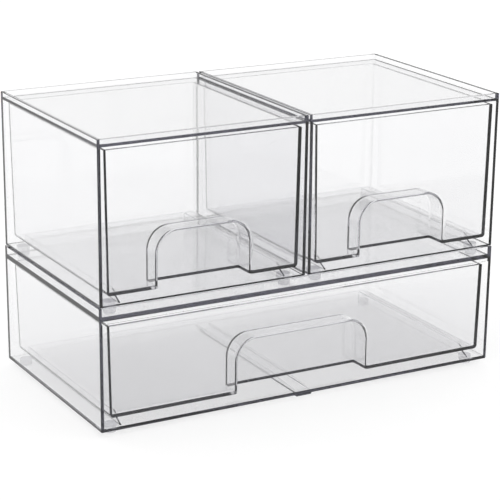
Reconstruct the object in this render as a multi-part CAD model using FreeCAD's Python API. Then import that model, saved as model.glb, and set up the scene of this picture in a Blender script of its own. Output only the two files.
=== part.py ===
import FreeCAD, Part
import os
from types import SimpleNamespace

# Stacked clear vanity drawers: two half-width units standing side by side on one full-width unit.
# Millimetres. X runs across the width, the open fronts face -Y, and Z = 0 is the surface that it stands on.
# The origin is the middle of the footprint.

# Overall size
WIDTH = 318.0
DEPTH = 165.0
UNIT_GAP = 1.2                 # slot between the two upper units
FRONT = -DEPTH / 2
BACK = DEPTH / 2

# What differs between the two sizes of unit
UPPER = SimpleNamespace(
    foot_height=7.0,
    case_height=114.5,
    rim_height=4.0,            # stacking rim round the top plate
    top_plate=1.5,
    case_floor=1.2,
    front_edge_radius=0.5,
    drawer_height=99.6,
    drawer_lift=7.2,           # case underside to drawer underside
    drawer_setback=0.6,        # drawer front behind the case's front edge
    drawer_side_gap=5.0,       # case side to drawer side, at the top of the drawer
    recess_half_width=35.0,
    has_centre_channel=False,
)
LOWER = SimpleNamespace(
    foot_height=4.5,
    case_height=88.0,
    rim_height=6.5,
    top_plate=3.0,
    case_floor=2.4,
    front_edge_radius=0.4,
    drawer_height=65.6,
    drawer_lift=8.8,
    drawer_setback=1.6,
    drawer_side_gap=6.6,
    recess_half_width=52.7,
    has_centre_channel=True,
)

# Cases
CASE_WALL = 2.4
CASE_DRAFT = 0.4               # each case side leans in by this much from its top to its bottom
RIM_THICKNESS = 2.6
CASE_BACK_RADIUS = 1.5
CASE_BOTTOM_RADIUS = 1.0
HEADER_DROP = 2.0              # stiffening lip under the front of the wide top plate
HEADER_THICKNESS = 2.4

# Feet: clear bumper pads under each case
FOOT_RADIUS = 4.2
FOOT_TOP_RADIUS = 4.8
FOOT_INSET_X = 12.0
FOOT_INSET_Y = 11.0
FOOT_EDGE_RADIUS = 0.9

# Runners moulded on each case floor, and the centre channel of the wide case
RUNNER_WIDTH = 1.2
RUNNER_INSET = 16.0            # case side to the middle of a side runner
RUNNER_FRONT_GAP = 2.4         # case front to the foot of a runner's ramp
RUNNER_RAMP = 12.0             # length of the sloping lead-in at a runner's front
RUNNER_BACK_GAP = 8.0          # runners end short of the back wall
RUNNING_GAP = 0.2              # drawer underside to runner
CHANNEL_SPAN = 11.0            # between the middles of the two centre ribs
CHANNEL_RIB_HEIGHT = 1.2
CHANNEL_RIB_RAMP = 26.0
CHANNEL_PAD_DROP = 1.2         # pad under the floor along the centre channel

# Drawers
DRAWER_BACK_GAP = 4.6
DRAWER_DRAFT = 1.5
DRAWER_WALL = 2.0
DRAWER_PANEL = 2.6
DRAWER_FLOOR = 1.8
DRAWER_BACK_RADIUS = 3.0
DRAWER_BOTTOM_RADIUS = 2.6
DRAWER_INNER_RADIUS = 1.2
DRAWER_INNER_EDGE = 1.0

# Finger recess: an arched pocket set back into the front panel, open underneath
RECESS_DEPTH = 16.5
RECESS_HEIGHT = 38.2
RECESS_WALL = 2.0
RECESS_CORNER = 14.5
RECESS_TAPER = 0.6
RECESS_LIP = 2.3
RECESS_BACK_EDGE = 0.9

# Moulded edges are never quite sharp.
CAVITY_CORNER_RADIUS = 0.8
CAVITY_EDGE_RADIUS = 0.5
EDGE_SOFTENING = 0.4

OVERLAP = 1.0                  # how far a joined form reaches into the wall that carries it
TOLERANCE = 0.02               # for telling which edges lie in a plane


def vector(x, y, z):
    return FreeCAD.Vector(x, y, z)


def box(x0, x1, y0, y1, z0, z1):
    return Part.makeBox(x1 - x0, y1 - y0, z1 - z0, vector(x0, y0, z0))


def spans(low, high, start, end):
    return abs(low - start) < TOLERANCE and abs(high - end) < TOLERANCE


def at_height(edge, z):
    return all(abs(v.Z - z) < TOLERANCE for v in edge.Vertexes)


def at_depth(edge, y):
    return all(abs(v.Y - y) < TOLERANCE for v in edge.Vertexes)


def round_edges(solid, radius, chosen):
    return solid.makeFillet(radius, [e for e in solid.Edges if chosen(e)])


def tapered_block(half_width, front, back, bottom, top, back_radius, draft):
    """Block whose sides and back lean in by draft from top to bottom. half_width and back are at the top."""
    lying = Part.makeWedge(
        draft - half_width, bottom, draft - back, -back, -half_width,
        half_width - draft, top, -front, -front, half_width,
    )
    lying.rotate(vector(0, 0, 0), vector(1, 0, 0), 90)
    middle = (front + back) / 2
    return round_edges(
        lying, back_radius,
        lambda e: e.CenterOfMass.y > middle
        and spans(e.BoundBox.ZMin, e.BoundBox.ZMax, bottom, top),
    )


def arch_block(half_width, bottom, top, corner, front, back, back_edge):
    """Block running back from front and narrowing by RECESS_TAPER. Its upper corners are round."""
    block = Part.makeWedge(
        -half_width, front, bottom, bottom, RECESS_TAPER - half_width,
        half_width, back, top, top - RECESS_TAPER, half_width - RECESS_TAPER,
    )
    arched = round_edges(
        block, corner,
        lambda e: e.CenterOfMass.z > bottom + corner
        and spans(e.BoundBox.YMin, e.BoundBox.YMax, front, back),
    )
    return round_edges(arched, back_edge, lambda e: at_depth(e, back) and not at_height(e, bottom))


def make_case(unit, half_width, bottom):
    """Open-fronted case with a rimmed top plate and drawer runners, centred on X = 0."""
    top = bottom + unit.case_height
    plate_top = top - unit.rim_height
    plate_underside = plate_top - unit.top_plate
    floor_top = bottom + unit.case_floor

    outer = tapered_block(half_width, FRONT, BACK, bottom, top, CASE_BACK_RADIUS, CASE_DRAFT)
    outer = round_edges(
        outer, CASE_BOTTOM_RADIUS,
        lambda e: at_height(e, bottom) and not at_depth(e, FRONT),
    )
    cavity_front = FRONT - CASE_WALL
    cavity = tapered_block(
        half_width - CASE_WALL, cavity_front, BACK - CASE_WALL, floor_top, plate_underside,
        CAVITY_CORNER_RADIUS, CASE_DRAFT,
    )
    cavity = round_edges(
        cavity, CAVITY_EDGE_RADIUS,
        lambda e: (at_height(e, floor_top) or at_height(e, plate_underside))
        and not at_depth(e, cavity_front),
    )
    tray = tapered_block(
        half_width - RIM_THICKNESS, FRONT + RIM_THICKNESS, BACK - RIM_THICKNESS,
        plate_top, top + OVERLAP, CAVITY_CORNER_RADIUS, 0.0,
    )
    tray = round_edges(tray, CAVITY_EDGE_RADIUS, lambda e: at_height(e, plate_top))
    case = outer.cut(cavity).cut(tray)
    if unit.has_centre_channel:
        header = make_header(half_width - CASE_WALL, plate_underside)
        case = case.multiFuse([make_channel_pad(bottom), header]).removeSplitter()
    case = round_edges(case, unit.front_edge_radius, lambda e: at_height(e, top) or at_depth(e, FRONT))
    return case.multiFuse(make_runners(unit, half_width, bottom)).removeSplitter()


def make_rib(x, floor_top, height, ramp):
    """Rib along the case floor, with a sloping lead-in at its front."""
    front = FRONT + RUNNER_FRONT_GAP
    back = BACK - CASE_WALL - RUNNER_BACK_GAP
    root = floor_top - OVERLAP
    side = x - RUNNER_WIDTH / 2
    profile = Part.makePolygon([
        vector(side, front, root),
        vector(side, front, floor_top),
        vector(side, front + ramp, floor_top + height),
        vector(side, back, floor_top + height),
        vector(side, back, root),
        vector(side, front, root),
    ])
    return Part.Face(profile).extrude(vector(RUNNER_WIDTH, 0, 0))


def make_runners(unit, half_width, bottom):
    """Ribs on the case floor: tall ones that the drawer slides on, and low ones along the centre channel."""
    floor_top = bottom + unit.case_floor
    inset = half_width - RUNNER_INSET
    running_height = unit.drawer_lift - unit.case_floor - RUNNING_GAP
    ribs = [make_rib(x, floor_top, running_height, RUNNER_RAMP) for x in (-inset, inset)]
    if unit.has_centre_channel:
        half_span = CHANNEL_SPAN / 2
        ribs += [
            make_rib(x, floor_top, CHANNEL_RIB_HEIGHT, CHANNEL_RIB_RAMP)
            for x in (-half_span, half_span)
        ]
    return ribs


def make_channel_pad(bottom):
    """Thickening under the floor of the wide case, along its centre channel."""
    half = (CHANNEL_SPAN + RUNNER_WIDTH) / 2
    return box(-half, half, FRONT, BACK - RUNNER_INSET, bottom - CHANNEL_PAD_DROP, bottom + OVERLAP)


def make_header(half_width, plate_underside):
    """Stiffening lip under the front edge of the wide top plate."""
    return box(
        -half_width, half_width, FRONT, FRONT + HEADER_THICKNESS,
        plate_underside - HEADER_DROP, plate_underside + OVERLAP,
    )


def make_drawer(unit, half_width, bottom):
    """Open-topped drawer whose front panel has an arched finger recess, centred on X = 0."""
    top = bottom + unit.drawer_height
    floor_top = bottom + DRAWER_FLOOR
    front = FRONT + unit.drawer_setback
    back = BACK - DRAWER_BACK_GAP
    outer = tapered_block(half_width, front, back, bottom, top, DRAWER_BACK_RADIUS, DRAWER_DRAFT)
    outer = round_edges(
        outer, DRAWER_BOTTOM_RADIUS,
        lambda e: at_height(e, bottom) and not at_depth(e, front),
    )
    inner = tapered_block(
        half_width - DRAWER_WALL, front + DRAWER_PANEL, back - DRAWER_WALL,
        floor_top, top + DRAWER_FLOOR, DRAWER_INNER_RADIUS, DRAWER_DRAFT,
    )
    inner = round_edges(inner, DRAWER_INNER_EDGE, lambda e: at_height(e, floor_top))

    recess_back = front + RECESS_DEPTH
    recess_top = bottom + RECESS_HEIGHT
    pocket_wall = arch_block(
        unit.recess_half_width + RECESS_WALL, bottom, recess_top + RECESS_WALL,
        RECESS_CORNER + RECESS_WALL, front + DRAWER_PANEL / 2, recess_back + RECESS_WALL,
        RECESS_BACK_EDGE + RECESS_WALL / 2,
    )
    pocket = arch_block(
        unit.recess_half_width, bottom - DRAWER_FLOOR, recess_top, RECESS_CORNER, front, recess_back,
        RECESS_BACK_EDGE,
    )
    drawer = outer.cut(inner).fuse(pocket_wall).cut(pocket).removeSplitter()

    def on_outline(edge):
        beside = abs(edge.BoundBox.Center.x) > half_width - DRAWER_DRAFT - DRAWER_BOTTOM_RADIUS
        return beside or at_height(edge, bottom) or at_height(edge, top)

    drawer = round_edges(drawer, RECESS_LIP, lambda e: at_depth(e, front) and not on_outline(e))
    return round_edges(
        drawer, EDGE_SOFTENING,
        lambda e: at_height(e, top) or (at_depth(e, front) and on_outline(e)),
    )


def make_foot(x, y, bottom, height):
    """Round bumper pad, slightly wider where it meets the case, with a rounded tread."""
    foot = Part.makeCone(FOOT_RADIUS, FOOT_TOP_RADIUS, height, vector(x, y, bottom))
    return round_edges(foot, FOOT_EDGE_RADIUS, lambda e: at_height(e, bottom))


def move_across(shape, x):
    moved = shape.copy()
    moved.translate(vector(x, 0, 0))
    return moved


def save(name, shape):
    assert shape.isValid(), name
    assert len(shape.Solids) == 1, name
    shape.Solids[0].exportStep("parts/" + name + ".step")


def save_unit(name, unit, middle, half_width, base):
    """Writes one unit's case, drawer and four feet. base is the height of what the feet stand on."""
    bottom = base + unit.foot_height
    case = make_case(unit, half_width, bottom)
    drawer = make_drawer(unit, half_width - unit.drawer_side_gap, bottom + unit.drawer_lift)
    save(name + "_case", move_across(case, middle))
    save(name + "_drawer", move_across(drawer, middle))
    for side, sign in (("left", -1), ("right", 1)):
        x = middle + sign * (half_width - FOOT_INSET_X)
        for end, y in (("front", FRONT + FOOT_INSET_Y), ("back", BACK - FOOT_INSET_Y)):
            save(name + "_foot_" + end + "_" + side, make_foot(x, y, base, unit.foot_height))


def main():
    os.makedirs("parts", exist_ok=True)
    upper_half = (WIDTH - UNIT_GAP) / 4
    upper_middle = WIDTH / 2 - upper_half
    upper_base = LOWER.foot_height + LOWER.case_height - LOWER.rim_height
    save_unit("lower", LOWER, 0.0, WIDTH / 2, 0.0)
    save_unit("left", UPPER, -upper_middle, upper_half, upper_base)
    save_unit("right", UPPER, upper_middle, upper_half, upper_base)


main()
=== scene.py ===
import math

import bpy
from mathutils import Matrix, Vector

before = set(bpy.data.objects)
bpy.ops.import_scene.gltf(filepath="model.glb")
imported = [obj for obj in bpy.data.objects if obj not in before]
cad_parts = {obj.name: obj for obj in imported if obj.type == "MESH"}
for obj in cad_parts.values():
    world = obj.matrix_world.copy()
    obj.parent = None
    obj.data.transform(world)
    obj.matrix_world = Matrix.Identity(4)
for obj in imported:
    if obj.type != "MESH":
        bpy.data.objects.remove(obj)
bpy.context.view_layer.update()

# Camera, with its lens and sensor in millimetres
CAMERA_PLACE = (-0.648, -1.155, 0.494)
CAMERA_TURN = (72.997, -0.625, -29.134)
CAMERA_LENS = 135.6
CAMERA_SENSOR = 36.0

# Clear moulded plastic. It looks dark only along its edges, where the light's path inside it is long.
PLASTIC_IOR = 1.49
CASE_TINT = (0.50, 0.50, 0.55)
CASE_DENSITY = 29.0
DRAWER_TINT = (0.50, 0.50, 0.54)
DRAWER_DENSITY = 26.0
SHADOW_CLARITY = 0.995         # share of the light that each face lets through to the floor

# The plastic's faces: a faint waviness, and a haze that dulls the gloss where its noise is strong
WAVE_NOISE = {"Scale": 18.0, "Detail": 1.0, "Roughness": 0.4}
WAVE_HEIGHT = 0.002
WAVE_STRENGTH = 0.03
HAZE_NOISE = {"Scale": 60.0, "Detail": 4.0, "Roughness": 0.6}
HAZE_START = 0.45
HAZE_FULL = 0.80
HAZE_ROUGHNESS = 0.03

# The underside of each drawer is finely textured, which makes its floor a soft grey, and is tinted with a
# faint lavender painted shade that stands in for the shade beneath the drawers.
UNDERSIDE_SHARE = 0.012        # of the drawer's height
UNDERSIDE_PAINTED_SHADE = (0.985, 0.985, 1.0)
UNDERSIDE_ROUGHNESS = 0.10

# Bumper feet: soft clear resin, slightly cloudy and satin
BUMPER_COLOUR = (0.74, 0.74, 0.80)
BUMPER_CLOUD = (0.86, 0.86, 0.89)
BUMPER_ALPHA = 0.30
BUMPER_NOISE = {"Scale": 400.0, "Detail": 3.0, "Roughness": 0.5}
BUMPER_SMOOTHEST = 0.25
BUMPER_ROUGHEST = 0.45

# Floor
FLOOR_HALF = 8.0
FLOOR_ALBEDO = 0.45
FLOOR_GLOW = 0.60              # what the eye sees on top of the lit floor, to make it white

# Light. Each sky stop is a height, from 0 at the horizon to 1 overhead, and how bright the sky looks there.
AMBIENT = 0.9
SKY_STOPS = ((0.10, 1.0), (0.33, 0.80), (0.45, 0.08), (0.70, 0.08), (0.90, 0.70))
SUN_POWER = 0.6
SUN_ANGLE = 40.0               # wide, so that the shadow is soft
SUN_FROM = (-0.5, -0.3, 1.0)

# Light crosses many plastic walls before it leaves the object.
LONGEST_PATH = 48
MOST_REFLECTIONS = 24
MOST_SHADOW_WALLS = 32


def grey(value):
    return (value, value, value, 1.0)


def fill(tree, socket, value):
    """Link the socket if the value is another socket, or else set it."""
    if isinstance(value, bpy.types.NodeSocket):
        tree.links.new(value, socket)
    else:
        socket.default_value = value


def feed(tree, node, **inputs):
    """Fill a node's inputs by name, where an underscore stands for a space."""
    for name, value in inputs.items():
        fill(tree, node.inputs[name.replace("_", " ")], value)


def add(tree, kind, **inputs):
    """A new node with its inputs filled."""
    node = tree.nodes.new(kind)
    feed(tree, node, **inputs)
    return node


def calculate(tree, operation, *values):
    """The result of a math node with its inputs filled in order."""
    node = add(tree, "ShaderNodeMath")
    node.operation = operation
    for socket, value in zip(node.inputs, values):
        fill(tree, socket, value)
    return node.outputs["Value"]


def make_camera():
    data = bpy.data.cameras.new("camera")
    data.lens = CAMERA_LENS
    data.sensor_width = CAMERA_SENSOR
    camera = bpy.data.objects.new("camera", data)
    camera.location = CAMERA_PLACE
    camera.rotation_euler = [math.radians(a) for a in CAMERA_TURN]
    bpy.context.scene.collection.objects.link(camera)
    bpy.context.scene.camera = camera


def new_material(name):
    material = bpy.data.materials.new(name)
    material.use_nodes = True
    tree = material.node_tree
    return material, tree, tree.nodes["Principled BSDF"]


def moulded_face(tree):
    """Normal of a faintly wavy wall, and a roughness that varies a little from place to place."""
    place = add(tree, "ShaderNodeTexCoord").outputs["Object"]
    wave = add(tree, "ShaderNodeTexNoise", Vector=place, **WAVE_NOISE)
    bump = add(tree, "ShaderNodeBump", Height=wave.outputs["Fac"], Distance=WAVE_HEIGHT,
               Strength=WAVE_STRENGTH)
    haze = add(tree, "ShaderNodeTexNoise", Vector=place, **HAZE_NOISE)
    gloss = add(tree, "ShaderNodeMapRange", Value=haze.outputs["Fac"],
                From_Min=HAZE_START, From_Max=HAZE_FULL, To_Min=0.0, To_Max=HAZE_ROUGHNESS)
    return bump.outputs["Normal"], gloss.outputs["Result"]


def underside_texture_and_painted_shade(tree, roughness):
    """Colour and roughness with the faces in the lowest share of the piece's height rougher, and tinted
    with a faint painted shade.
    """
    place = add(tree, "ShaderNodeTexCoord").outputs["Generated"]
    height = add(tree, "ShaderNodeSeparateXYZ", Vector=place).outputs["Z"]
    low = calculate(tree, "LESS_THAN", height, UNDERSIDE_SHARE)
    # The tint on the lowest faces is painted shade: a faint lavender grey that darkens the drawer floor.
    tint = add(tree, "ShaderNodeMixRGB", Fac=low, Color1=grey(1.0), Color2=(*UNDERSIDE_PAINTED_SHADE, 1.0))
    return tint.outputs["Color"], calculate(tree, "MULTIPLY_ADD", low, UNDERSIDE_ROUGHNESS, roughness)


def clear_plastic(name, tint, density, underside=False):
    material, tree, shader = new_material(name)
    normal, roughness = moulded_face(tree)
    colour = grey(1.0)
    if underside:
        colour, roughness = underside_texture_and_painted_shade(tree, roughness)
    feed(tree, shader, Base_Color=colour, Roughness=roughness, Normal=normal,
         IOR=PLASTIC_IOR, Transmission_Weight=1.0)
    passing = add(tree, "ShaderNodeBsdfTransparent", Color=grey(SHADOW_CLARITY))
    rays = add(tree, "ShaderNodeLightPath").outputs
    choice = add(tree, "ShaderNodeMixShader", Fac=rays["Is Shadow Ray"])
    tree.links.new(shader.outputs["BSDF"], choice.inputs[1])
    tree.links.new(passing.outputs["BSDF"], choice.inputs[2])
    inside = add(tree, "ShaderNodeVolumeAbsorption", Color=(*tint, 1.0), Density=density)
    feed(tree, tree.nodes["Material Output"],
         Surface=choice.outputs["Shader"], Volume=inside.outputs["Volume"])
    return material


def bumper_resin():
    """Soft resin with a faint mottle in its colour and its gloss."""
    material, tree, shader = new_material("bumper_resin")
    place = add(tree, "ShaderNodeTexCoord").outputs["Object"]
    mottle = add(tree, "ShaderNodeTexNoise", Vector=place, **BUMPER_NOISE).outputs["Fac"]
    tint = add(tree, "ShaderNodeMixRGB", Fac=mottle,
               Color1=(*BUMPER_COLOUR, 1.0), Color2=(*BUMPER_CLOUD, 1.0))
    satin = add(tree, "ShaderNodeMapRange", Value=mottle,
                To_Min=BUMPER_SMOOTHEST, To_Max=BUMPER_ROUGHEST)
    feed(tree, shader, Base_Color=tint.outputs["Color"], Roughness=satin.outputs["Result"],
         Alpha=BUMPER_ALPHA)
    return material


def dress():
    case = clear_plastic("case_plastic", CASE_TINT, CASE_DENSITY)
    # The drawers' plastic has a rough underside, tinted with a faint painted shade.
    drawer = clear_plastic("drawer_plastic", DRAWER_TINT, DRAWER_DENSITY, underside=True)
    bumper = bumper_resin()
    for name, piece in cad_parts.items():
        if "_foot_" in name:
            material = bumper
        elif name.endswith("_drawer"):
            material = drawer
        else:
            material = case
        piece.material_slots[0].material = material


def seen_rays(tree):
    """1 where the eye sees a surface directly, in a reflection or through plastic, and 0 elsewhere."""
    rays = add(tree, "ShaderNodeLightPath").outputs
    seen = calculate(tree, "MAXIMUM", rays["Is Camera Ray"], rays["Is Glossy Ray"])
    return calculate(tree, "MAXIMUM", seen, rays["Is Transmission Ray"])


def make_floor():
    mesh = bpy.data.meshes.new("floor")
    corners = [(-1, -1), (1, -1), (1, 1), (-1, 1)]
    mesh.from_pydata([(x * FLOOR_HALF, y * FLOOR_HALF, 0.0) for x, y in corners], [], [(0, 1, 2, 3)])
    floor = bpy.data.objects.new("floor", mesh)
    bpy.context.scene.collection.objects.link(floor)
    material, tree, shader = new_material("floor")
    glow = calculate(tree, "MULTIPLY", seen_rays(tree), FLOOR_GLOW)
    feed(tree, shader, Base_Color=grey(FLOOR_ALBEDO), Roughness=1.0, Specular_IOR_Level=0.0,
         Emission_Color=grey(1.0), Emission_Strength=glow)
    mesh.materials.append(material)


def make_sky():
    """Even light for the floor. The plastic mirrors a room: white low down, dark above, pale overhead."""
    world = bpy.data.worlds.new("sky")
    bpy.context.scene.world = world
    world.use_nodes = True
    tree = world.node_tree
    direction = add(tree, "ShaderNodeTexCoord").outputs["Generated"]
    height = add(tree, "ShaderNodeSeparateXYZ", Vector=direction).outputs["Z"]
    ramp = add(tree, "ShaderNodeValToRGB", Fac=height)
    stops = ramp.color_ramp.elements
    while len(stops) < len(SKY_STOPS):
        stops.new(1.0)
    for stop, (position, value) in zip(stops, SKY_STOPS):
        stop.position = position
        stop.color = grey(value)
    choice = add(tree, "ShaderNodeMixRGB", Fac=seen_rays(tree),
                 Color1=grey(AMBIENT), Color2=ramp.outputs["Color"])
    feed(tree, tree.nodes["Background"], Color=choice.outputs["Color"])


def make_lamp():
    data = bpy.data.lights.new("lamp", "SUN")
    data.energy = SUN_POWER
    data.angle = math.radians(SUN_ANGLE)
    lamp = bpy.data.objects.new("lamp", data)
    lamp.rotation_euler = Vector(SUN_FROM).to_track_quat("Z", "Y").to_euler()
    bpy.context.scene.collection.objects.link(lamp)


def allow_long_paths():
    cycles = bpy.context.scene.cycles
    cycles.max_bounces = LONGEST_PATH
    cycles.transmission_bounces = LONGEST_PATH
    cycles.glossy_bounces = MOST_REFLECTIONS
    cycles.transparent_max_bounces = MOST_SHADOW_WALLS


make_camera()
dress()
make_floor()
make_sky()
make_lamp()
allow_long_paths()
bpy.context.scene.view_settings.view_transform = "Standard"
